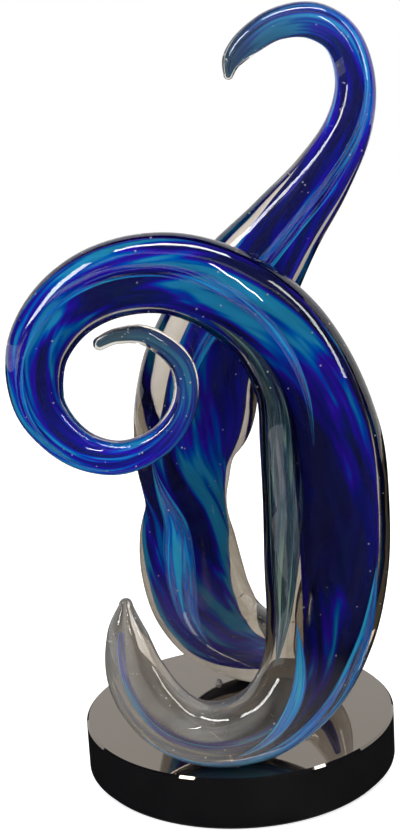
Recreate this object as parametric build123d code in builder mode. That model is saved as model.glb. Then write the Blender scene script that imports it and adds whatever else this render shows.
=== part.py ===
from build123d import *
from math import ceil, cos, pi, radians, sin
import os

os.makedirs("parts", exist_ok=True)

# Base: a round slab of polished black glass on a felt
base_diameter = 190
base_height = 30
base_bevel = 1.2
felt_thickness = 2
felt_margin = 3

# Adhesive: a film under each foot, and a bead squeezed out beside the rear one
bond_thickness = 0.5
bead_diameter = 5
bead_crown_diameter = 3
bead_height = 2.5
bead_side = 12.5
bead_back = 35.5

# Front limb: how far it reaches and rises, how far in from the disc's edge its foot stands, and its largest girth
front_reach = 100
front_rise = 275
front_inset = 22
front_width = 72
front_thickness = 46

# Rear limb: the same, with its foot in from the back of the disc
rear_reach = 86
rear_rise = 408
rear_inset = 59
rear_width = 76
rear_thickness = 63

# How much of a foot's round underside is ground off to make it flat
ground_depth = 1.75

base_top = felt_thickness + base_height
seat_height = base_top + bond_thickness
front_stand = base_diameter / 2 - front_inset
rear_stand = base_diameter / 2 - rear_inset

# Each row is a station on a limb's centreline. Side, depth and height are shares of its reach, stand and rise,
# wide and thick are shares of its girth, and turn is in degrees about the centreline. Core is the colour core's
# share of the girth there, and off is how far the core lies off the centreline, as a share of the half width.
# The front limb runs from the foot's tip, up the body and over the arch, to the tip of the curl.
front_station_shares = [
    (-0.605, -0.90, 0.345, 0.110, 0.170, 0, 0.00, 0.00),
    (-0.610, -0.92, 0.284, 0.320, 0.410, 0, 0.12, 0.20),
    (-0.570, -0.96, 0.196, 0.470, 0.610, 0, 0.10, 0.28),
    (-0.450, -0.99, 0.120, 0.510, 0.740, 0, 0.10, 0.30),
    (-0.270, -1.00, 0.073, 0.490, 0.830, 0, 0.10, 0.30),
    (-0.050, -1.00, 0.064, 0.520, 0.870, 0, 0.12, 0.30),
    (0.180, -0.97, 0.093, 0.600, 0.910, 0, 0.18, 0.30),
    (0.375, -0.90, 0.165, 0.730, 0.930, 0, 0.34, 0.26),
    (0.488, -0.82, 0.273, 0.880, 0.980, 0, 0.48, 0.20),
    (0.535, -0.74, 0.396, 0.980, 1.000, 0, 0.53, 0.17),
    (0.550, -0.66, 0.524, 0.990, 1.000, 0, 0.55, 0.15),
    (0.538, -0.59, 0.647, 0.960, 0.980, 0, 0.58, 0.12),
    (0.470, -0.55, 0.773, 0.820, 0.930, 0, 0.63, 0.06),
    (0.305, -0.52, 0.882, 0.740, 0.870, 0, 0.68, 0.00),
    (0.040, -0.51, 0.962, 0.680, 0.800, 0, 0.69, 0.00),
    (-0.260, -0.51, 1.003, 0.630, 0.740, 0, 0.69, 0.00),
    (-0.580, -0.51, 0.996, 0.590, 0.700, 0, 0.68, 0.02),
    (-0.845, -0.51, 0.947, 0.540, 0.650, 0, 0.68, 0.04),
    (-1.015, -0.51, 0.864, 0.490, 0.610, 0, 0.68, 0.05),
    (-1.040, -0.51, 0.765, 0.420, 0.540, 0, 0.68, 0.05),
    (-0.950, -0.51, 0.695, 0.360, 0.480, 0, 0.67, 0.05),
    (-0.790, -0.51, 0.645, 0.310, 0.430, 0, 0.66, 0.05),
    (-0.580, -0.51, 0.629, 0.270, 0.390, 0, 0.65, 0.05),
    (-0.360, -0.51, 0.661, 0.230, 0.350, 0, 0.63, 0.05),
    (-0.217, -0.51, 0.731, 0.205, 0.300, 0, 0.61, 0.05),
    (-0.220, -0.51, 0.818, 0.190, 0.260, 0, 0.58, 0.04),
    (-0.390, -0.51, 0.877, 0.165, 0.230, 0, 0.54, 0.02),
    (-0.560, -0.51, 0.883, 0.130, 0.190, 0, 0.48, 0.00),
    (-0.668, -0.51, 0.869, 0.110, 0.165, 0, 0.36, 0.00),
]

# The rear limb runs from the hook's tip down to the foot's, and turns half over on the way.
rear_station_shares = [
    (0.157, 0.58, 0.933, 0.075, 0.080, 0, 0.40, 0.00),
    (0.192, 0.58, 0.955, 0.160, 0.175, 0, 0.56, 0.00),
    (0.308, 0.58, 0.978, 0.215, 0.240, 0, 0.64, 0.00),
    (0.500, 0.58, 0.999, 0.240, 0.270, 0, 0.67, 0.00),
    (0.738, 0.58, 1.000, 0.270, 0.300, 0, 0.68, 0.00),
    (0.930, 0.58, 0.971, 0.280, 0.330, 0, 0.68, 0.00),
    (1.003, 0.58, 0.912, 0.310, 0.365, 0, 0.68, 0.00),
    (0.936, 0.58, 0.847, 0.375, 0.410, 0, 0.68, 0.00),
    (0.738, 0.58, 0.779, 0.480, 0.480, 0, 0.64, 0.00),
    (0.480, 0.58, 0.713, 0.620, 0.555, 0, 0.60, -0.04),
    (0.157, 0.64, 0.623, 0.870, 0.635, 0, 0.57, -0.09),
    (-0.110, 0.69, 0.525, 0.950, 0.730, 0, 0.56, -0.12),
    (-0.209, 0.75, 0.441, 1.000, 0.790, -18, 0.58, -0.09),
    (-0.279, 0.78, 0.387, 0.970, 0.790, -45, 0.60, -0.02),
    (-0.297, 0.81, 0.341, 0.950, 0.810, -68, 0.58, 0.04),
    (-0.306, 0.83, 0.299, 0.950, 0.810, -90, 0.54, 0.07),
    (-0.314, 0.86, 0.250, 0.950, 0.940, -104, 0.50, 0.08),
    (-0.293, 0.92, 0.194, 0.950, 1.000, -114, 0.47, 0.08),
    (-0.233, 0.97, 0.140, 0.950, 0.980, -122, 0.45, 0.08),
    (-0.093, 0.99, 0.093, 0.895, 0.870, -132, 0.40, 0.07),
    (0.140, 0.97, 0.061, 0.740, 0.670, -148, 0.32, 0.05),
    (0.395, 0.97, 0.050, 0.580, 0.600, -165, 0.24, 0.03),
    (0.616, 1.00, 0.072, 0.450, 0.480, -180, 0.18, 0.00),
    (0.721, 1.03, 0.123, 0.300, 0.330, -180, 0.12, 0.00),
    (0.744, 1.03, 0.176, 0.105, 0.130, -180, 0.00, 0.00),
]

# A trail is a streak of paler glass laid over a core, under the skin of the casing. Each row names it, the limb it
# is in, the stations that it runs between, and the angles round the section at which it starts and ends.
trails = [
    ("front_aqua_trail", "front", 11, 23, -100, -35),
    ("front_sea_green_trail", "front", 7, 14, -150, -140),
    ("front_lower_aqua_trail", "front", 3, 9, -30, -30),
    ("rear_aqua_trail", "rear", 3, 12, -155, -70),
    ("rear_lower_aqua_trail", "rear", 13, 19, 10, 80),
]
trail_place_share = 0.83
trail_wide_share = 0.16
trail_thick_share = 0.05
trail_tip_share = 0.15

# The limbs are lofted straight from section to section, and turn by no more than this many degrees at each. The
# sections are ovals drawn with this many sides, in step from one to the next.
span_turn = 26
casing_side_count = 24
core_side_count = 14

# A limb's end is a dome, whose sections lie at these angles up its side.
dome_angles = (30, 55, 75)


# A limb's stations in real sizes, lifted so that its lowest one reaches just below the seat, where it is ground off
def stations_of(shares, reach, stand, rise, width, thickness):
    stations = []
    undersides = []
    for side, depth, height, wide, thick, turn, core, off in shares:
        half_width, half_thickness = wide * width / 2, thick * thickness / 2
        half_height = Vector(half_width * cos(radians(turn)), half_thickness * sin(radians(turn))).length
        undersides.append(height * rise - half_height)
        stations.append([side * reach, depth * stand, height * rise, half_width, half_thickness, turn, core, off])
    for station in stations:
        station[2] += seat_height - ground_depth - min(undersides)
    return stations


# The station at a share of the way from one to the next, on a smooth curve through their neighbours
def station_between(stations, first, way):
    last = len(stations) - 1
    four = [stations[min(max(first + step, 0), last)] for step in (-1, 0, 1, 2)]
    smooth = []
    for before, here, there, after in zip(*four):
        slope = there - before
        bend = 2 * before - 5 * here + 4 * there - after
        swing = 3 * (here - there) + after - before
        smooth.append(here + (slope * way + bend * way**2 + swing * way**3) / 2)
    return smooth


# The way the centreline heads there
def heading(stations, first, way):
    step_share = 0.01
    back = station_between(stations, first, way - step_share)
    ahead = station_between(stations, first, way + step_share)
    return (Vector(*ahead[:3]) - Vector(*back[:3])).normalized()


# A limb's sections from one station to another: the plane square to the centreline, its x axis across the limb's
# own sheet, then half width, half thickness, turn, and the core's share and offset
def sections_between(stations, first, last):
    places = []
    for number in range(first, last):
        bend = heading(stations, number, 0).get_angle(heading(stations, number, 1))
        twist = abs(stations[number + 1][5] - stations[number][5])
        spans = ceil(max(bend, twist) / span_turn)
        places += [(number, step / spans) for step in range(spans)]
    places.append((last - 1, 1))
    sections = []
    for place in places:
        x, y, z, half_width, half_thickness, turn, core, off = station_between(stations, *place)
        ahead = heading(stations, *place)
        plane = Plane(origin=(x, y, z), x_dir=Vector(0, 1, 0).cross(ahead), z_dir=ahead)
        sections.append((plane, half_width, half_thickness, turn, core, off))
    return sections


# The corners of a turned oval, which keep their places round the centreline as it turns
def oval(half_width, half_thickness, turn, sides):
    corners = []
    for number in range(sides):
        angle = 2 * pi * number / sides - radians(turn)
        corners.append(Vector(half_width * cos(angle), half_thickness * sin(angle)).rotate(Axis.Z, turn))
    return corners


# The drawn sections, with a dome at either end
def domed(sections, sides):
    start = []
    end = []
    for angle in dome_angles:
        rise, girth = sin(radians(angle)), cos(radians(angle))
        for side, dome, section in ((-1, start, sections[0]), (1, end, sections[-1])):
            plane, half_width, half_thickness, turn = section
            height = side * rise * min(half_width, half_thickness)
            dome.append((plane.offset(height), half_width * girth, half_thickness * girth, turn))
    return [(plane, oval(*size, sides)) for plane, *size in start[::-1] + sections + end]


def casing_sections(stations):
    return domed([section[:4] for section in sections_between(stations, 0, len(stations) - 1)], casing_side_count)


# The core runs between the first and the last station that have one
def core_sections(stations):
    cored = [number for number, station in enumerate(stations) if station[6] > 0]
    sections = []
    for plane, half_width, half_thickness, turn, core, off in sections_between(stations, cored[0], cored[-1]):
        middle = plane.origin + plane.x_dir * (half_width * off)
        core_plane = Plane(origin=middle, x_dir=plane.x_dir, z_dir=plane.z_dir)
        sections.append((core_plane, half_width * core, half_thickness * core, turn))
    return domed(sections, core_side_count)


# A trail's four-sided sections, thin and pointed at its sides, which swell from its ends to its middle
def trail_sections(stations, first, last, start_angle, end_angle):
    sections = []
    rows = sections_between(stations, first, last)
    for number, (plane, half_width, half_thickness, turn, core, off) in enumerate(rows):
        way = number / (len(rows) - 1)
        angle = radians(start_angle + (end_angle - start_angle) * way)
        swell = trail_tip_share + (1 - trail_tip_share) * sin(pi * way)
        corners = []
        for along, out in ((-trail_wide_share, 0), (0, trail_thick_share), (trail_wide_share, 0), (0, -trail_thick_share)):
            x = (trail_place_share + out * swell) * cos(angle) - along * swell * sin(angle)
            y = (trail_place_share + out * swell) * sin(angle) + along * swell * cos(angle)
            corners.append(Vector(x * half_width, y * half_thickness).rotate(Axis.Z, turn))
        sections.append((plane, corners))
    return sections


front_stations = stations_of(
    front_station_shares, front_reach, front_stand, front_rise, front_width, front_thickness
)
rear_stations = stations_of(rear_station_shares, rear_reach, rear_stand, rear_rise, rear_width, rear_thickness)

# Base
with BuildPart() as base_disc:
    with BuildSketch(Plane.XY.offset(felt_thickness)):
        Circle(base_diameter / 2)
    extrude(amount=base_height)
    chamfer(base_disc.edges().filter_by(GeomType.CIRCLE), length=base_bevel)

with BuildPart() as base_felt:
    with BuildSketch():
        Circle(base_diameter / 2 - felt_margin)
    extrude(amount=felt_thickness)

# Colour cores
with BuildPart() as front_core:
    for plane, corners in core_sections(front_stations):
        with BuildSketch(plane):
            Polygon(*corners, align=None)
    loft(ruled=True)

with BuildPart() as rear_core:
    for plane, corners in core_sections(rear_stations):
        with BuildSketch(plane):
            Polygon(*corners, align=None)
    loft(ruled=True)

# Trails, kept with the limb that each is cased in
limb_trails = {"front": [], "rear": []}
for name, limb, *course in trails:
    stations = front_stations if limb == "front" else rear_stations
    with BuildPart() as trail:
        for plane, corners in trail_sections(stations, *course):
            with BuildSketch(plane):
                Polygon(*corners, align=None)
        loft(ruled=True)
    trail.part.label = name
    limb_trails[limb].append(trail.part)

# Casings: ground flat under the foot, with the core and the trails sealed inside
with BuildPart() as front_casing:
    for plane, corners in casing_sections(front_stations):
        with BuildSketch(plane):
            Polygon(*corners, align=None)
    loft(ruled=True)
    split(bisect_by=Plane.XY.offset(seat_height), keep=Keep.TOP)
    add([front_core.part, *limb_trails["front"]], mode=Mode.SUBTRACT)

with BuildPart() as rear_casing:
    for plane, corners in casing_sections(rear_stations):
        with BuildSketch(plane):
            Polygon(*corners, align=None)
    loft(ruled=True)
    split(bisect_by=Plane.XY.offset(seat_height), keep=Keep.TOP)
    add([rear_core.part, *limb_trails["rear"]], mode=Mode.SUBTRACT)

# Adhesive
with BuildPart() as front_foot_bond:
    extrude(front_casing.faces().filter_by(Plane.XY).sort_by(Axis.Z)[0], amount=bond_thickness)

with BuildPart() as rear_foot_bond:
    extrude(rear_casing.faces().filter_by(Plane.XY).sort_by(Axis.Z)[0], amount=bond_thickness)

with BuildPart(Location((-bead_side, bead_back, base_top))) as glue_bead:
    Cone(
        bead_diameter / 2, bead_crown_diameter / 2, bead_height, align=(Align.CENTER, Align.CENTER, Align.MIN)
    )

pieces = {
    "base_disc": base_disc,
    "base_felt": base_felt,
    "front_core": front_core,
    "rear_core": rear_core,
    "front_casing": front_casing,
    "rear_casing": rear_casing,
    "front_foot_bond": front_foot_bond,
    "rear_foot_bond": rear_foot_bond,
    "glue_bead": glue_bead,
}
for name, piece in pieces.items():
    piece.part.label = name
    export_step(piece.part, f"parts/{name}.step")
for trail in limb_trails["front"] + limb_trails["rear"]:
    export_step(trail, f"parts/{trail.label}.step")
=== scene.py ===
# Glass wave sculpture: two limbs of cased glass standing on a black glass disc
import random
from math import cos, pi, radians, sin

import bpy
from mathutils import Matrix, Vector


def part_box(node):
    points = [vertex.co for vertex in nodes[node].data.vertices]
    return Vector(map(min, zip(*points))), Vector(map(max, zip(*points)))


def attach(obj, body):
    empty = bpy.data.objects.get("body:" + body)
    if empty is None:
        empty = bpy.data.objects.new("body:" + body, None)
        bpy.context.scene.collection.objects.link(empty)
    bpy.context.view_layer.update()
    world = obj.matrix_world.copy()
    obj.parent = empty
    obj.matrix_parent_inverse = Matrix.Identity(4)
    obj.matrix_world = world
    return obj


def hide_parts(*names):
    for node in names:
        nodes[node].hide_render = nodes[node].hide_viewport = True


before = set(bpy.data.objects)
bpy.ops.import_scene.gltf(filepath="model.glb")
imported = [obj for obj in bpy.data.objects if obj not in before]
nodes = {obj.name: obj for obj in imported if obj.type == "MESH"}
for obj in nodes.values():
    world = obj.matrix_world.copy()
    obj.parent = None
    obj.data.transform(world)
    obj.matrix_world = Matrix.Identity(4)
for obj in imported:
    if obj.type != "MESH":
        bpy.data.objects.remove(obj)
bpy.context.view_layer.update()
print("frame loaded")

camera = {
    "place": (0, -0.79, 0.3966),
    "yaw": -1.01,
    "pitch": -12.79,
    "roll": -3.38,
    "lens": 59.05,
    "sensor": 36,
}


def makeCamera():
    yaw, pitch, roll = (radians(camera[name]) for name in ("yaw", "pitch", "roll"))
    forward = Vector((sin(yaw) * cos(pitch), cos(yaw) * cos(pitch), sin(pitch)))
    level = Vector((cos(yaw), -sin(yaw), 0))
    upright = level.cross(forward)
    right = level * cos(roll) + upright * sin(roll)
    up = upright * cos(roll) - level * sin(roll)
    data = bpy.data.cameras.new("photoCamera")
    data.lens = camera["lens"]
    data.sensor_width = camera["sensor"]
    thing = bpy.data.objects.new("photoCamera", data)
    bpy.context.scene.collection.objects.link(thing)
    turned = Matrix((right, up, -forward)).transposed().to_4x4()
    thing.matrix_world = Matrix.Translation(camera["place"]) @ turned
    bpy.context.scene.camera = thing


makeCamera()
print("camera placed")


def addMesh(name, verts, faces, material, smooth):
    data = bpy.data.meshes.new(name)
    data.from_pydata(verts, [], faces)
    data.polygons.foreach_set("use_smooth", [smooth] * len(faces))
    data.materials.append(material)
    data.update()
    thing = bpy.data.objects.new(name, data)
    bpy.context.scene.collection.objects.link(thing)
    return thing


def newMaterial(name):
    material = bpy.data.materials.new(name)
    material.use_nodes = True
    tree = material.node_tree
    return material, tree, tree.nodes["Principled BSDF"]


def addNode(tree, kind, **values):
    node = tree.nodes.new(kind)
    for name, value in values.items():
        if hasattr(node, name):
            setattr(node, name, value)
        else:
            node.inputs[name.replace("_", " ")].default_value = value
    return node


def mathValue(tree, operation, first, second=None):
    node = addNode(tree, "ShaderNodeMath", operation=operation)
    for socket, value in zip(node.inputs, (first, second)):
        if isinstance(value, (int, float)):
            socket.default_value = value
        elif value is not None:
            tree.links.new(value, socket)
    return node.outputs[0]


# a place on a limb without a seam: round it as a circle, along it as height, twisting as it goes
def limbPlace(tree, aroundScale, alongScale, twist=0):
    coords = addNode(tree, "ShaderNodeTexCoord")
    split = addNode(tree, "ShaderNodeSeparateXYZ")
    join = addNode(tree, "ShaderNodeCombineXYZ")
    tree.links.new(coords.outputs["UV"], split.inputs[0])
    angle = mathValue(tree, "MULTIPLY", split.outputs[0], 2 * pi)
    angle = mathValue(tree, "ADD", angle, mathValue(tree, "MULTIPLY", split.outputs[1], twist))
    for socket, wave in ((0, "COSINE"), (1, "SINE")):
        swing = mathValue(tree, wave, angle)
        tree.links.new(mathValue(tree, "MULTIPLY", swing, aroundScale), join.inputs[socket])
    tree.links.new(mathValue(tree, "MULTIPLY", split.outputs[1], alongScale), join.inputs[2])
    return join.outputs[0]


# noise seldom leaves the range from least to most, so that range is spread out
noiseRange = {"least": 0.3, "most": 0.7, "warp": 0.5}
limbScale = 2  # the scale of any noise laid along a limb


# noise in the object's own space or along a limb, spread from low to high
def noiseValue(tree, scale, low, high, detail=3, stretch=None):
    noise = addNode(tree, "ShaderNodeTexNoise", Scale=scale, Detail=detail)
    if stretch:
        noise.inputs["Distortion"].default_value = noiseRange["warp"]
        tree.links.new(limbPlace(tree, *stretch), noise.inputs["Vector"])
    else:
        coords = addNode(tree, "ShaderNodeTexCoord")
        tree.links.new(coords.outputs["Object"], noise.inputs["Vector"])
    spread = addNode(tree, "ShaderNodeMapRange")
    spread.inputs["From Min"].default_value = noiseRange["least"]
    spread.inputs["From Max"].default_value = noiseRange["most"]
    spread.inputs["To Min"].default_value = low
    spread.inputs["To Max"].default_value = high
    tree.links.new(noise.outputs["Fac"], spread.inputs["Value"])
    return spread.outputs["Result"]


def addBump(tree, shader, bump, detail=3):
    node = addNode(tree, "ShaderNodeBump", Strength=bump["strength"], Distance=bump["height"])
    tree.links.new(noiseValue(tree, bump["scale"], 0, 1, detail), node.inputs["Height"])
    tree.links.new(node.outputs["Normal"], shader.inputs["Normal"])


# colours laid along a value, as (place, colour) steps
def colourRamp(tree, value, steps):
    ramp = addNode(tree, "ShaderNodeValToRGB")
    elements = ramp.color_ramp.elements
    while len(elements) < len(steps):
        elements.new(0.5)
    for element, (place, colour) in zip(elements, steps):
        element.position = place
        element.color = (*colour, 1)
    tree.links.new(value, ramp.inputs["Fac"])
    return ramp.outputs["Color"]


def absorb(tree, colour, density):
    volume = addNode(tree, "ShaderNodeVolumeAbsorption", Density=density)
    volume.inputs["Color"].default_value = (*colour, 1)
    output = tree.nodes["Material Output"]
    tree.links.new(volume.outputs["Volume"], output.inputs["Volume"])


# how far along a limb a point lies, as a share between two places in metres
def alongShare(tree, first, last):
    coords = addNode(tree, "ShaderNodeTexCoord")
    split = addNode(tree, "ShaderNodeSeparateXYZ")
    share = addNode(tree, "ShaderNodeMapRange")
    share.inputs["From Min"].default_value = first
    share.inputs["From Max"].default_value = last
    tree.links.new(coords.outputs["UV"], split.inputs[0])
    tree.links.new(split.outputs[1], share.inputs["Value"])
    return share.outputs["Result"]


# the clear glass of a limb, a little smoky and drawn with faint cords, tinted a warm taupe that is
# partly painted reflection, a room's beige seen through the glass
casingGlass = {
    # the smoke's darkening is the glass's own, and its warm taupe hue is painted reflection, a
    # room's beige seen through the glass
    "smokeAndPaintedRoomTone": (0.46, 0.42, 0.355),
    "depths": {"front": 62, "rear": 42},  # how strong the smoke is in each limb
    "ior": 1.5,
    "ripple": {"scale": 22, "height": 0.0013, "strength": 0.35},
    "roughScale": 60,
    "rough": (0.0, 0.03),
    "cords": (1.5, 7, 6),  # round the limb, along it and twist
    # painted reflection: the cords' taupe end stands in for a room's beige seen through the glass
    "paintedRoomTone": (0.74, 0.67, 0.58),
    "clear": (0.97, 0.94, 0.9),
    "paintedRoomToneTo": 0.15,
    "clearFrom": 0.6,
    "veils": {"front": (0.19, 0.10), "rear": (0.42, 0.56)},  # metres along, from clear to milky
    "veilCloud": (1, 8, 6),
    "veilLeast": 0.3,
    "veilShare": 0.17,
}


def makeCasingGlass(limbName):
    material, tree, shader = newMaterial(limbName + "ClearGlass")
    veil = alongShare(tree, *casingGlass["veils"][limbName])
    cloud = noiseValue(tree, limbScale, casingGlass["veilLeast"], 1, 4, casingGlass["veilCloud"])
    cloud = mathValue(tree, "MULTIPLY", veil, cloud)
    cover = mathValue(tree, "MULTIPLY", cloud, casingGlass["veilShare"])
    tree.links.new(mathValue(tree, "SUBTRACT", 1, cover), shader.inputs["Transmission Weight"])
    shader.inputs["IOR"].default_value = casingGlass["ior"]
    cords = noiseValue(tree, limbScale, 0, 1, 5, casingGlass["cords"])
    # the cords run from a painted room tone to clear glass
    paintedRoomTone = (casingGlass["paintedRoomToneTo"], casingGlass["paintedRoomTone"])
    clear = (casingGlass["clearFrom"], casingGlass["clear"])
    tree.links.new(colourRamp(tree, cords, [paintedRoomTone, clear]), shader.inputs["Base Color"])
    rough = noiseValue(tree, casingGlass["roughScale"], *casingGlass["rough"])
    tree.links.new(rough, shader.inputs["Roughness"])
    addBump(tree, shader, casingGlass["ripple"], 2)
    absorb(tree, casingGlass["smokeAndPaintedRoomTone"], casingGlass["depths"][limbName])
    return material


# the blue glass: one noise picks its colours, the glass's own streaks, and a painted glow makes it
# paler or darker along the limb, where light shines through it or not
coreGlass = {
    "steps": [
        (0.0, (0.04, 0.042, 0.16)),
        (0.42, (0.032, 0.042, 0.27)),
        (0.58, (0.02, 0.03, 0.56)),
        (0.74, (0.06, 0.015, 0.95)),
        (0.83, (0.0, 0.1, 1.0)),
        (0.92, (0.0, 0.26, 1.0)),
        (1.0, (0.03, 0.48, 1.0)),
    ],
    "stretch": (0.75, 6.5, 8),  # round the limb, along it and twist
    "dye": (0.02, 0.05, 0.8),
    "depth": 45,
    "clear": (0.78, 0.3),  # how much light the darkest and the palest streaks let through
    "ior": 1.04,
    "rough": 0.1,
    "slate": (0.09, 0.17, 0.24),
    "slaty": {"front": (0.64, 0.74), "rear": (0.1, 0.0)},  # metres along, from blue to slate
    "paintedGlowReach": 0.8,  # metres along at which glow's shares reach 1
    "paintedGlowMiddle": 0.5,
    # painted glow: shares along each limb that make the blue paler where light shines through it
    # and darker where it does not
    "glow": {
        "front": [
            (0.0, 0.7), (0.14, 0.72), (0.22, 0.64), (0.3, 0.42),
            (0.4, 0.46), (0.48, 0.69), (0.6, 0.71), (0.7, 0.82),
        ],
        "rear": [
            (0.0, 0.78), (0.1, 0.76), (0.2, 0.6), (0.3, 0.6),
            (0.42, 0.6), (0.5, 0.72), (0.6, 0.78), (0.68, 0.6),
        ],
    },
}


def makeCoreGlass(limbName):
    material, tree, shader = newMaterial(limbName + "BlueGlass")
    streaks = noiseValue(tree, limbScale, 0, 1, 2.5, coreGlass["stretch"])
    steps = [(place, (value,) * 3) for place, value in coreGlass["glow"][limbName]]
    # the painted glow along the limb lifts or lowers the streaks
    glow = colourRamp(tree, alongShare(tree, 0, coreGlass["paintedGlowReach"]), steps)
    lift = mathValue(tree, "SUBTRACT", glow, coreGlass["paintedGlowMiddle"])
    streaks = mathValue(tree, "ADD", streaks, lift)
    fade = addNode(tree, "ShaderNodeMix", data_type="RGBA")
    tree.links.new(alongShare(tree, *coreGlass["slaty"][limbName]), fade.inputs["Factor"])
    tree.links.new(colourRamp(tree, streaks, coreGlass["steps"]), fade.inputs["A"])
    fade.inputs["B"].default_value = (*coreGlass["slate"], 1)
    tree.links.new(fade.outputs["Result"], shader.inputs["Base Color"])
    dark, pale = coreGlass["clear"]
    cover = mathValue(tree, "MULTIPLY", streaks, dark - pale)
    tree.links.new(mathValue(tree, "SUBTRACT", dark, cover), shader.inputs["Transmission Weight"])
    shader.inputs["IOR"].default_value = coreGlass["ior"]
    shader.inputs["Roughness"].default_value = coreGlass["rough"]
    absorb(tree, coreGlass["dye"], coreGlass["depth"])
    return material


trailGlasses = {
    "ior": 1.01,
    "rough": 0.15,
    "aqua": {
        "thin": (1, 1, 1),
        "pale": (0.05, 0.6, 1.0),
        "deep": (0.0, 0.22, 1.0),
        "milky": 0.8,
        "stretch": (0.9, 7, 5),
    },
    "seaGreen": {
        "thin": (0.28, 0.34, 0.5),
        "pale": (0.3, 0.46, 0.37),
        "deep": (0.02, 0.09, 0.18),
        "milky": 0.85,
        "stretch": (1.3, 6, 5),
    },
    "colourSteps": {"thin": 0.4, "deep": 0.6, "pale": 0.95},
    "milkySteps": (0.4, 0.75),
}


# a streak that comes and goes: clear where the noise is low, milky and coloured where it is high
def makeTrailGlass(trail):
    look = trailGlasses[trail["glass"]]
    material, tree, shader = newMaterial(trail["node"].replace("_", "") + "Glass")
    streaks = noiseValue(tree, limbScale, 0, 1, 3, look["stretch"])
    streaks = mathValue(tree, "ADD", streaks, trail["shift"])
    steps = [(place, look[name]) for name, place in trailGlasses["colourSteps"].items()]
    tree.links.new(colourRamp(tree, streaks, steps), shader.inputs["Base Color"])
    clearTo, milkyFrom = trailGlasses["milkySteps"]
    cover = colourRamp(tree, streaks, [(clearTo, (0, 0, 0)), (milkyFrom, (look["milky"],) * 3)])
    tree.links.new(mathValue(tree, "SUBTRACT", 1, cover), shader.inputs["Transmission Weight"])
    shader.inputs["IOR"].default_value = trailGlasses["ior"]
    shader.inputs["Roughness"].default_value = trailGlasses["rough"]
    return material


# mottled colour and roughness from noise in the object's own space, each as a scale and two ends
def mottle(tree, shader, colours, rough):
    if colours:
        scale, low, high = colours
        spread = colourRamp(tree, noiseValue(tree, scale, 0, 1), [(0, low), (1, high)])
        tree.links.new(spread, shader.inputs["Base Color"])
    if rough:
        tree.links.new(noiseValue(tree, *rough), shader.inputs["Roughness"])


# seed bubbles are too small to see into, so they are pale specks: a painted glint, the light each
# bubble catches, given as their colour
seedGlintGlass = {"colour": (0.95, 0.95, 0.93, 1), "clear": 0.35, "ior": 1.2, "rough": (400, 0.0, 0.05)}


def makeSeedGlintGlass():
    material, tree, shader = newMaterial("seedBubblePaintedGlint")
    # painted glint: the pale colour stands in for the light each bubble catches
    shader.inputs["Base Color"].default_value = seedGlintGlass["colour"]
    shader.inputs["Transmission Weight"].default_value = seedGlintGlass["clear"]
    shader.inputs["IOR"].default_value = seedGlintGlass["ior"]
    mottle(tree, shader, None, seedGlintGlass["rough"])
    return material


dropGlass = {"ior": 0.67, "rough": (400, 0.0, 0.04)}  # air inside glass, so its index is below one


def makeDropGlass():
    material, tree, shader = newMaterial("dropBubble")
    shader.inputs["Transmission Weight"].default_value = 1
    shader.inputs["IOR"].default_value = dropGlass["ior"]
    mottle(tree, shader, None, dropGlass["rough"])
    return material


# the base stands in a plain studio, so a high index and a warm tint on its gloss paint in the
# reflection of a warm room: a painted reflection
blackGlass = {
    "ior": 2.5,
    "paintedRoomTint": (1, 0.86, 0.72, 1),
    "colours": (30, (0.003, 0.003, 0.004), (0.007, 0.007, 0.008)),
    "rough": (45, 0.015, 0.05),
    "bump": {"scale": 14, "height": 0.0002, "strength": 0.1},
}


def makeBlackGlass():
    material, tree, shader = newMaterial("polishedBlackGlass")
    shader.inputs["IOR"].default_value = blackGlass["ior"]
    # painted reflection: a warm tint on the gloss, for a room that is not there
    shader.inputs["Specular Tint"].default_value = blackGlass["paintedRoomTint"]
    mottle(tree, shader, blackGlass["colours"], blackGlass["rough"])
    addBump(tree, shader, blackGlass["bump"], 1)
    return material


felt = {
    "colours": (900, (0.008, 0.008, 0.009), (0.03, 0.03, 0.032)),
    "rough": 0.95,
    "sheen": 0.3,
    "bump": {"scale": 1500, "height": 0.0003, "strength": 0.6},
}


def makeFelt():
    material, tree, shader = newMaterial("blackFelt")
    mottle(tree, shader, felt["colours"], None)
    shader.inputs["Roughness"].default_value = felt["rough"]
    shader.inputs["Sheen Weight"].default_value = felt["sheen"]
    addBump(tree, shader, felt["bump"])
    return material


adhesive = {
    "clear": 0.6,
    "ior": 1.45,
    "colours": (500, (0.5, 0.5, 0.48), (0.85, 0.85, 0.82)),
    "rough": (700, 0.15, 0.35),
}


def makeAdhesive():
    material, tree, shader = newMaterial("curedAdhesive")
    shader.inputs["Transmission Weight"].default_value = adhesive["clear"]
    shader.inputs["IOR"].default_value = adhesive["ior"]
    mottle(tree, shader, adhesive["colours"], adhesive["rough"])
    return material


materials = {
    "frontCasing": makeCasingGlass("front"),
    "rearCasing": makeCasingGlass("rear"),
    "frontCore": makeCoreGlass("front"),
    "rearCore": makeCoreGlass("rear"),
    "seeds": makeSeedGlintGlass(),
    "drop": makeDropGlass(),
    "blackGlass": makeBlackGlass(),
    "felt": makeFelt(),
    "adhesive": makeAdhesive(),
}
print("materials made")

# A limb's row is a place on its middle line. Side, depth and height are shares of its reach, stand
# and rise, and the next two are shares of its width and thickness. Then come the turn in degrees,
# the core's share of the girth, and how far the core lies off the middle, as a share of half the
# width.

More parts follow.
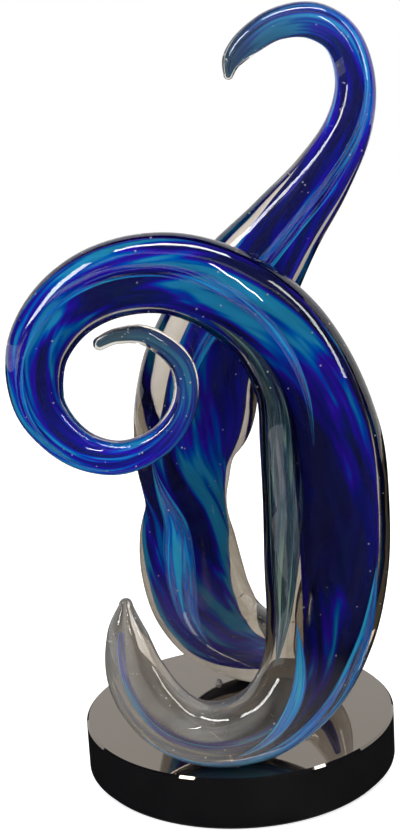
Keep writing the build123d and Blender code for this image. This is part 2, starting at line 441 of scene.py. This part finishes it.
# the front limb runs from its foot's tip, up the body and over the arch, to the tip of the curl
frontLimb = {
    "name": "front",
    "reach": 0.1,
    "stand": 0.073,
    "rise": 0.275,
    "width": 0.072,
    "thickness": 0.046,
    "shares": [
        (-0.605, -0.90, 0.345, 0.110, 0.170, 0, 0.00, 0.00),
        (-0.610, -0.92, 0.284, 0.320, 0.410, 0, 0.12, 0.20),
        (-0.570, -0.96, 0.196, 0.470, 0.610, 0, 0.10, 0.28),
        (-0.450, -0.99, 0.120, 0.510, 0.740, 0, 0.10, 0.30),
        (-0.270, -1.00, 0.073, 0.490, 0.830, 0, 0.10, 0.30),
        (-0.050, -1.00, 0.064, 0.520, 0.870, 0, 0.12, 0.30),
        (0.180, -0.97, 0.093, 0.600, 0.910, 0, 0.18, 0.30),
        (0.375, -0.90, 0.165, 0.730, 0.930, 0, 0.34, 0.26),
        (0.488, -0.82, 0.273, 0.880, 0.980, 0, 0.48, 0.20),
        (0.535, -0.74, 0.396, 0.980, 1.000, 0, 0.53, 0.17),
        (0.550, -0.66, 0.524, 0.990, 1.000, 0, 0.55, 0.15),
        (0.538, -0.59, 0.647, 0.960, 0.980, 0, 0.58, 0.12),
        (0.470, -0.55, 0.773, 0.820, 0.930, 0, 0.63, 0.06),
        (0.305, -0.52, 0.882, 0.740, 0.870, 0, 0.68, 0.00),
        (0.040, -0.51, 0.962, 0.680, 0.800, 0, 0.69, 0.00),
        (-0.260, -0.51, 1.003, 0.630, 0.740, 0, 0.69, 0.00),
        (-0.580, -0.51, 0.996, 0.590, 0.700, 0, 0.68, 0.02),
        (-0.845, -0.51, 0.947, 0.540, 0.650, 0, 0.68, 0.04),
        (-1.015, -0.51, 0.864, 0.490, 0.610, 0, 0.68, 0.05),
        (-1.040, -0.51, 0.765, 0.420, 0.540, 0, 0.68, 0.05),
        (-0.950, -0.51, 0.695, 0.360, 0.480, 0, 0.67, 0.05),
        (-0.790, -0.51, 0.645, 0.310, 0.430, 0, 0.66, 0.05),
        (-0.580, -0.51, 0.629, 0.270, 0.390, 0, 0.65, 0.05),
        (-0.360, -0.51, 0.661, 0.230, 0.350, 0, 0.63, 0.05),
        (-0.217, -0.51, 0.731, 0.205, 0.300, 0, 0.61, 0.05),
        (-0.220, -0.51, 0.818, 0.190, 0.260, 0, 0.58, 0.04),
        (-0.390, -0.51, 0.877, 0.165, 0.230, 0, 0.54, 0.02),
        (-0.560, -0.51, 0.883, 0.130, 0.190, 0, 0.48, 0.00),
        (-0.668, -0.51, 0.869, 0.110, 0.165, 0, 0.36, 0.00),
    ],
}

# the rear limb runs from the hook's tip down to its foot, and turns half over on the way
rearLimb = {
    "name": "rear",
    "reach": 0.086,
    "stand": 0.036,
    "rise": 0.408,
    "width": 0.076,
    "thickness": 0.063,
    "shares": [
        (0.157, 0.58, 0.933, 0.075, 0.080, 0, 0.40, 0.00),
        (0.192, 0.58, 0.955, 0.160, 0.175, 0, 0.56, 0.00),
        (0.308, 0.58, 0.978, 0.215, 0.240, 0, 0.64, 0.00),
        (0.500, 0.58, 0.999, 0.240, 0.270, 0, 0.67, 0.00),
        (0.738, 0.58, 1.000, 0.270, 0.300, 0, 0.68, 0.00),
        (0.930, 0.58, 0.971, 0.280, 0.330, 0, 0.68, 0.00),
        (1.003, 0.58, 0.912, 0.310, 0.365, 0, 0.68, 0.00),
        (0.936, 0.58, 0.847, 0.375, 0.410, 0, 0.68, 0.00),
        (0.738, 0.58, 0.779, 0.480, 0.480, 0, 0.64, 0.00),
        (0.480, 0.58, 0.713, 0.620, 0.555, 0, 0.60, -0.04),
        (0.157, 0.64, 0.623, 0.870, 0.635, 0, 0.57, -0.09),
        (-0.110, 0.69, 0.525, 0.950, 0.730, 0, 0.56, -0.12),
        (-0.209, 0.75, 0.441, 1.000, 0.790, -18, 0.58, -0.09),
        (-0.279, 0.78, 0.387, 0.970, 0.790, -45, 0.60, -0.02),
        (-0.297, 0.81, 0.341, 0.950, 0.810, -68, 0.58, 0.04),
        (-0.306, 0.83, 0.299, 0.950, 0.810, -90, 0.54, 0.05),
        (-0.314, 0.86, 0.250, 0.950, 0.940, -104, 0.50, 0.05),
        (-0.293, 0.92, 0.194, 0.950, 1.000, -114, 0.47, 0.05),
        (-0.233, 0.97, 0.140, 0.950, 0.980, -122, 0.45, 0.06),
        (-0.093, 0.99, 0.093, 0.895, 0.870, -132, 0.40, 0.07),
        (0.140, 0.97, 0.061, 0.740, 0.670, -148, 0.32, 0.05),
        (0.395, 0.97, 0.050, 0.580, 0.600, -165, 0.24, 0.03),
        (0.616, 1.00, 0.072, 0.450, 0.480, -180, 0.18, 0.00),
        (0.721, 1.03, 0.123, 0.300, 0.330, -180, 0.12, 0.00),
        (0.744, 1.03, 0.176, 0.105, 0.130, -180, 0.00, 0.00),
    ],
}

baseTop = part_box("base_disc")[1].z
groundDepth = 0.00175  # how deep each foot is ground flat


# the limb's rows in metres, lifted so that its lowest point is ground off flat on the adhesive
def limbRows(limb):
    rows = []
    undersides = []
    for side, depth, height, wide, thick, turn, core, off in limb["shares"]:
        halfWide, halfThick = wide * limb["width"] / 2, thick * limb["thickness"] / 2
        drop = Vector((halfWide * cos(radians(turn)), halfThick * sin(radians(turn)))).length
        undersides.append(height * limb["rise"] - drop)
        place = [side * limb["reach"], depth * limb["stand"], height * limb["rise"]]
        rows.append([*place, halfWide, halfThick, radians(turn), core, off])
    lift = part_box(limb["name"] + "_foot_bond")[1].z - groundDepth - min(undersides)
    for row in rows:
        row[2] += lift
    return rows


for limb in (frontLimb, rearLimb):
    limb["rows"] = limbRows(limb)


# a row part of the way along, on a smooth curve through its neighbours
def rowAt(limb, t):
    rows = limb["rows"]
    last = len(rows) - 1
    first = min(max(int(t), 0), last - 1)
    way = t - first
    four = [rows[min(max(first + step, 0), last)] for step in (-1, 0, 1, 2)]
    smooth = []
    for before, here, there, after in zip(*four):
        bend = 2 * before - 5 * here + 4 * there - after
        swing = 3 * (here - there) + after - before
        smooth.append(here + ((there - before) * way + bend * way**2 + swing * way**3) / 2)
    return smooth


# the limb's section there: its centre and the core's, the way ahead, its two axes, and its sizes
def sectionAt(limb, t):
    x, y, z, wide, thick, turn, core, off = rowAt(limb, t)
    nudge = 0.01
    ahead = (Vector(rowAt(limb, t + nudge)[:3]) - Vector(rowAt(limb, t - nudge)[:3])).normalized()
    across = Vector((0, 1, 0)).cross(ahead).normalized()
    through = ahead.cross(across)
    centre = Vector((x, y, z))
    middle = centre + across * wide * off
    turned = (across * cos(turn) + through * sin(turn), through * cos(turn) - across * sin(turn))
    return {
        "centre": centre,
        "middle": middle,
        "ahead": ahead,
        "axes": turned,
        "wide": wide,
        "thick": thick,
        "core": core,
    }


# the way from a section's centre to its skin at an angle round it
def spokeAt(section, angle):
    axes = section["axes"]
    return axes[0] * section["wide"] * cos(angle) + axes[1] * section["thick"] * sin(angle)


def ovalRing(centre, axes, wide, thick, sides):
    turns = [2 * pi * n / sides for n in range(sides)]
    return [centre + axes[0] * wide * cos(turn) + axes[1] * thick * sin(turn) for turn in turns]


# a closed skin over rings, with a point at either end, and UVs: once round, and metres along
def skinMesh(name, rings, material, groundZ=None):
    sides = len(rings[0])
    verts = [point for ring in rings for point in ring]
    startPole, endPole = len(verts), len(verts) + 1
    verts += [sum(rings[0], Vector()) / sides, sum(rings[-1], Vector()) / sides]
    if groundZ is not None:
        verts = [Vector((v.x, v.y, max(v.z, groundZ))) for v in verts]
    along = [0]
    for before, after in zip(rings, rings[1:]):
        along.append(along[-1] + (sum(after, Vector()) - sum(before, Vector())).length / sides)
    faces = []
    uvs = []
    for ring in range(len(rings) - 1):
        here, there = ring * sides, (ring + 1) * sides
        for n in range(sides):
            m = (n + 1) % sides
            faces.append((here + n, here + m, there + m, there + n))
            u, v = n / sides, (n + 1) / sides
            uvs += [(u, along[ring]), (v, along[ring]), (v, along[ring + 1]), (u, along[ring + 1])]
    lastRing = (len(rings) - 1) * sides
    for n in range(sides):
        m = (n + 1) % sides
        faces.append((m, n, startPole))
        uvs += [((n + 1) / sides, along[0]), (n / sides, along[0]), (n / sides, along[0])]
        faces.append((lastRing + n, lastRing + m, endPole))
        uvs += [(n / sides, along[-1]), ((n + 1) / sides, along[-1]), (n / sides, along[-1])]
    thing = addMesh(name, verts, faces, material, True)
    layer = thing.data.uv_layers.new(name="limb")
    for loop, uv in zip(layer.data, uvs):
        loop.uv = uv
    return thing


skin = {"sides": 56, "steps": 8, "domeSteps": 6}  # steps are from row to row


# rings of a limb's casing or core from one row to another, domed at both ends
def limbRings(limb, first, last, part):
    count = (last - first) * skin["steps"]
    sized = []
    for n in range(count + 1):
        section = sectionAt(limb, first + (last - first) * n / count)
        share = section["core"] if part == "core" else 1
        centre = section["middle"] if part == "core" else section["centre"]
        wide, thick = section["wide"] * share, section["thick"] * share
        sized.append((centre, section["ahead"], section["axes"], wide, thick))
    domes = []
    for end, side in ((sized[0], -1), (sized[-1], 1)):
        centre, ahead, axes, wide, thick = end
        dome = []
        for step in range(1, skin["domeSteps"]):
            angle = step / skin["domeSteps"] * pi / 2
            rise = side * sin(angle) * min(wide, thick)
            dome.append((centre + ahead * rise, ahead, axes, wide * cos(angle), thick * cos(angle)))
        domes.append(dome)
    sized = domes[0][::-1] + sized + domes[1]
    return [ovalRing(centre, *rest, skin["sides"]) for centre, _, *rest in sized]


# the first and last rows that the core reaches
def coredRows(limb):
    cored = [n for n, row in enumerate(limb["rows"]) if row[6] > 0]
    return cored[0], cored[-1]


def makeLimb(limb):
    name = limb["name"]
    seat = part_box(name + "_foot_bond")[1].z
    casingRings = limbRings(limb, 0, len(limb["rows"]) - 1, "casing")
    coreRings = limbRings(limb, *coredRows(limb), "core")
    casing = skinMesh(name + "Casing", casingRings, materials[name + "Casing"], seat)
    core = skinMesh(name + "Core", coreRings, materials[name + "Core"])
    for piece, node, slot in ((casing, "_casing", "clear_glass"), (core, "_core", "blue_glass")):
        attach(piece, "root")
        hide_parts(name + node)


makeLimb(frontLimb)
makeLimb(rearLimb)
print("limbs made")

# A trail is a streak laid over a core. It runs between two rows, from one angle round the section
# to another. Shift makes it denser or sparser, and wide is half its width in the middle, as a share
# of the limb's half girth.
trails = [
    {
        "node": "front_aqua_trail",
        "limb": frontLimb,
        "rows": (11, 23),
        "angles": (-100, -35),
        "glass": "aqua",
        "shift": -0.12,
        "wide": 0.22,
    },
    {
        "node": "front_sea_green_trail",
        "limb": frontLimb,
        "rows": (7, 14),
        "angles": (-150, -140),
        "glass": "seaGreen",
        "shift": 0.05,
        "wide": 0.42,
    },
    {
        "node": "front_lower_aqua_trail",
        "limb": frontLimb,
        "rows": (3, 9),
        "angles": (-30, -30),
        "glass": "aqua",
        "shift": 0.15,
        "wide": 0.42,
    },
    {
        "node": "rear_aqua_trail",
        "limb": rearLimb,
        "rows": (3, 12),
        "angles": (-155, -70),
        "glass": "aqua",
        "shift": 0.0,
        "wide": 0.22,
    },
    {
        "node": "rear_lower_aqua_trail",
        "limb": rearLimb,
        "rows": (13, 19),
        "angles": (-8, 62),
        "glass": "aqua",
        "shift": 0.0,
        "wide": 0.3,
    },
]
trailShape = {"place": 0.83, "thick": 0.05, "tip": 0.03, "sides": 16}  # place: how far out


def trailRings(trail):
    first, last = trail["rows"]
    startAngle, endAngle = trail["angles"]
    count = (last - first) * skin["steps"]
    rings = []
    for n in range(count + 1):
        way = n / count
        section = sectionAt(trail["limb"], first + (last - first) * way)
        angle = radians(startAngle + (endAngle - startAngle) * way)
        swell = trailShape["tip"] + (1 - trailShape["tip"]) * sin(pi * way)
        ring = []
        for k in range(trailShape["sides"]):
            turn = 2 * pi * k / trailShape["sides"]
            around = angle + trail["wide"] * swell * cos(turn) / trailShape["place"]
            out = trailShape["place"] + trailShape["thick"] * swell * sin(turn)
            ring.append(section["centre"] + spokeAt(section, around) * out)
        rings.append(ring)
    return rings


# a pale aqua streak in the front foot, below the body, too thin to be a node
footGlow = {
    "node": "front_foot_glow",
    "limb": frontLimb,
    "rows": (5, 8),
    "angles": (-65, -125),
    "glass": "aqua",
    "shift": 0.12,
    "wide": 0.16,
}

for trail in [*trails, footGlow]:
    streakName = trail["node"].replace("_", "") + "Streak"
    piece = skinMesh(streakName, trailRings(trail), makeTrailGlass(trail))
    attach(piece, "root")
    if trail is not footGlow:
        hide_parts(trail["node"])
print("trails made")

bubbles = {
    "seed": 7,
    "front": 320,
    "rear": 200,
    "radius": (0.0002, 0.0006),
    "out": (0.76, 0.95),  # how far out from the middle, between the core and the skin
    "skin": 1.4,  # the least depth of glass over one, in its radii
    "endRows": 0.5,
    "aboveBase": 0.004,
    "sides": 8,
    "rings": 6,
}


# adds one bubble's verts and faces, its length lying along the limb
def addBubble(verts, faces, place, ahead, radius, length):
    sides, rings = bubbles["sides"], bubbles["rings"]
    start = len(verts)
    side = ahead.orthogonal().normalized()
    other = ahead.cross(side)
    verts.append(place + ahead * length)
    for ring in range(1, rings):
        down = pi * ring / rings
        for n in range(sides):
            turn = 2 * pi * n / sides
            spoke = (side * cos(turn) + other * sin(turn)) * sin(down) * radius
            verts.append(place + spoke + ahead * cos(down) * length)
    verts.append(place - ahead * length)
    low = len(verts) - 1
    last = start + 1 + (rings - 2) * sides
    for n in range(sides):
        m = (n + 1) % sides
        faces.append((start, start + 1 + n, start + 1 + m))
        for ring in range(rings - 2):
            upper = start + 1 + ring * sides
            lower = upper + sides
            faces.append((upper + n, lower + n, lower + m, upper + m))
        faces.append((last + n, low, last + m))


# a place in a limb at a row, an angle round it and a share of the way out, with the way ahead
# there and how deep under the skin it lies
def placeIn(limb, row, angle, out):
    section = sectionAt(limb, row)
    place = section["centre"] + spokeAt(section, angle) * out
    return place, section["ahead"], (1 - out) * min(section["wide"], section["thick"])


def addBubbleMesh(name, verts, faces, material):
    thing = addMesh(name, verts, faces, material, True)
    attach(thing, "root")


# seed bubbles scattered in a casing, outside its core
def makeBubbles(limb):
    verts = []
    faces = []
    first, last = bubbles["endRows"], len(limb["rows"]) - 1 - bubbles["endRows"]
    for _ in range(bubbles[limb["name"]]):
        angle = random.uniform(0, 2 * pi)
        row = random.uniform(first, last)
        place, ahead, depth = placeIn(limb, row, angle, random.uniform(*bubbles["out"]))
        size = random.uniform(*bubbles["radius"])
        if place.z > baseTop + bubbles["aboveBase"] and depth > size * bubbles["skin"]:
            addBubble(verts, faces, place, ahead, size, size)
    addBubbleMesh(limb["name"] + "Bubbles", verts, faces, materials["seeds"])


# one long drop of air in the lower body
dropBubble = {"row": 8.3, "angle": -112, "out": 0.72, "radius": 0.0019, "length": 0.0105}


def makeDrop():
    verts = []
    faces = []
    angle = radians(dropBubble["angle"])
    place, ahead, _ = placeIn(frontLimb, dropBubble["row"], angle, dropBubble["out"])
    addBubble(verts, faces, place, ahead, dropBubble["radius"], dropBubble["length"])
    addBubbleMesh("longBubble", verts, faces, materials["drop"])


random.seed(bubbles["seed"])
makeBubbles(frontLimb)
makeBubbles(rearLimb)
makeDrop()
print("bubbles made")

finishes = {
    "base_disc": "blackGlass",
    "base_felt": "felt",
    "front_foot_bond": "adhesive",
    "rear_foot_bond": "adhesive",
    "glue_bead": "adhesive",
}
for node, finish in finishes.items():
    nodes[node].data.materials.clear()
    nodes[node].data.materials.append(materials[finish])
print("base finished")

studio = {
    "floorSize": 6,
    "floorColour": (0.86, 0.86, 0.86, 1),
    "floorRough": 0.9,
    "floorLift": 0.6,  # the floor's own glow, which only the eye sees
    "worldLight": 0.55,
    "cardColour": (0.01, 0.01, 0.01, 1),
    "cards": [
        {
            "name": "frontCard",
            "centre": (0, -1.25, 0.7),
            "across": (1.6, 0, 0),
            "up": (0, 0, 0.9),
        },
        {
            "name": "leftCard",
            "centre": (-1.5, -0.2, 0.9),
            "across": (0, -1.0, 0),
            "up": (0, 0, 0.5),
        },
        {
            "name": "floorCard",
            "centre": (0, 0, 0.0004),
            "across": (1.7, 0, 0),
            "up": (0, 1.3, 0),
        },
        {
            "name": "rightCard",
            "centre": (1.6, -0.5, 0.7),
            "across": (0, 0.8, 0),
            "up": (0, 0, 0.8),
        },
        {
            "name": "topCard",
            "centre": (0, -0.1, 1.7),
            "across": (1.9, 0, 0),
            "up": (0, 1.0, 0),
        },
    ],
    "lamps": [
        {
            "name": "leftBox",
            "place": (-0.9, -0.7, 1.0),
            "aim": (0, 0, 0.2),
            "size": (0.2, 0.9),
            "power": 9,
        },
        {
            "name": "rightBox",
            "place": (1.0, -0.4, 0.9),
            "aim": (0, 0, 0.25),
            "size": (0.14, 0.8),
            "power": 4,
        },
        {
            "name": "topStrip",
            "place": (0.05, -0.25, 1.3),
            "aim": (0, -0.03, 0.3),
            "size": (0.9, 0.13),
            "power": 8,
        },
        {
            "name": "frontStrip",
            "place": (0.3, -1.05, 0.85),
            "aim": (0, 0, 0.25),
            "size": (0.03, 0.5),
            "power": 2,
        },
    ],
}


# one where the eye looks straight, in gloss or through glass, and none where light falls
def litByEye(tree):
    path = addNode(tree, "ShaderNodeLightPath").outputs
    seen = mathValue(tree, "MAXIMUM", path["Is Camera Ray"], path["Is Glossy Ray"])
    return mathValue(tree, "MAXIMUM", seen, path["Is Transmission Ray"])


def makeFloor():
    material, tree, shader = newMaterial("paleFloor")
    shader.inputs["Base Color"].default_value = studio["floorColour"]
    shader.inputs["Roughness"].default_value = studio["floorRough"]
    shader.inputs["Specular IOR Level"].default_value = 0
    shader.inputs["Emission Color"].default_value = (1, 1, 1, 1)
    lift = mathValue(tree, "MULTIPLY", litByEye(tree), studio["floorLift"])
    tree.links.new(lift, shader.inputs["Emission Strength"])
    half = studio["floorSize"] / 2
    corners = [(-half, -half, 0), (half, -half, 0), (half, half, 0), (-half, half, 0)]
    addMesh("floor", corners, [(0, 1, 2, 3)], material, False)


def makeWorld():
    world = bpy.data.worlds.new("studioWorld")
    world.use_nodes = True
    bpy.context.scene.world = world
    tree = world.node_tree
    backdrop = tree.nodes["Background"]
    backdrop.inputs["Color"].default_value = (1, 1, 1, 1)
    strength = addNode(tree, "ShaderNodeMapRange")
    strength.inputs["To Min"].default_value = studio["worldLight"]
    strength.inputs["To Max"].default_value = 1
    tree.links.new(litByEye(tree), strength.inputs["Value"])
    tree.links.new(strength.outputs["Result"], backdrop.inputs["Strength"])


# black cards that only the gloss sees, as glass is lit in a studio
def makeCards():
    dark, _, shader = newMaterial("blackCard")
    shader.inputs["Base Color"].default_value = studio["cardColour"]
    shader.inputs["Specular IOR Level"].default_value = 0
    for card in studio["cards"]:
        centre, across, up = (Vector(card[name]) for name in ("centre", "across", "up"))
        bottom, top = centre - up, centre + up
        corners = [bottom - across, bottom + across, top + across, top - across]
        thing = addMesh(card["name"], corners, [(0, 1, 2, 3)], dark, False)
        thing.visible_camera = False
        thing.visible_transmission = False
        thing.visible_shadow = False
        thing.visible_diffuse = False


def makeLamps():
    for lamp in studio["lamps"]:
        data = bpy.data.lights.new(lamp["name"], "AREA")
        data.shape = "RECTANGLE"
        data.size, data.size_y = lamp["size"]
        data.energy = lamp["power"]
        thing = bpy.data.objects.new(lamp["name"], data)
        bpy.context.scene.collection.objects.link(thing)
        aim = Vector(lamp["aim"]) - Vector(lamp["place"])
        turned = aim.to_track_quat("-Z", "Y").to_matrix().to_4x4()
        thing.matrix_world = Matrix.Translation(lamp["place"]) @ turned


makeFloor()
makeWorld()
makeCards()
makeLamps()
bpy.context.scene.view_settings.view_transform = "Standard"
print("studio made")
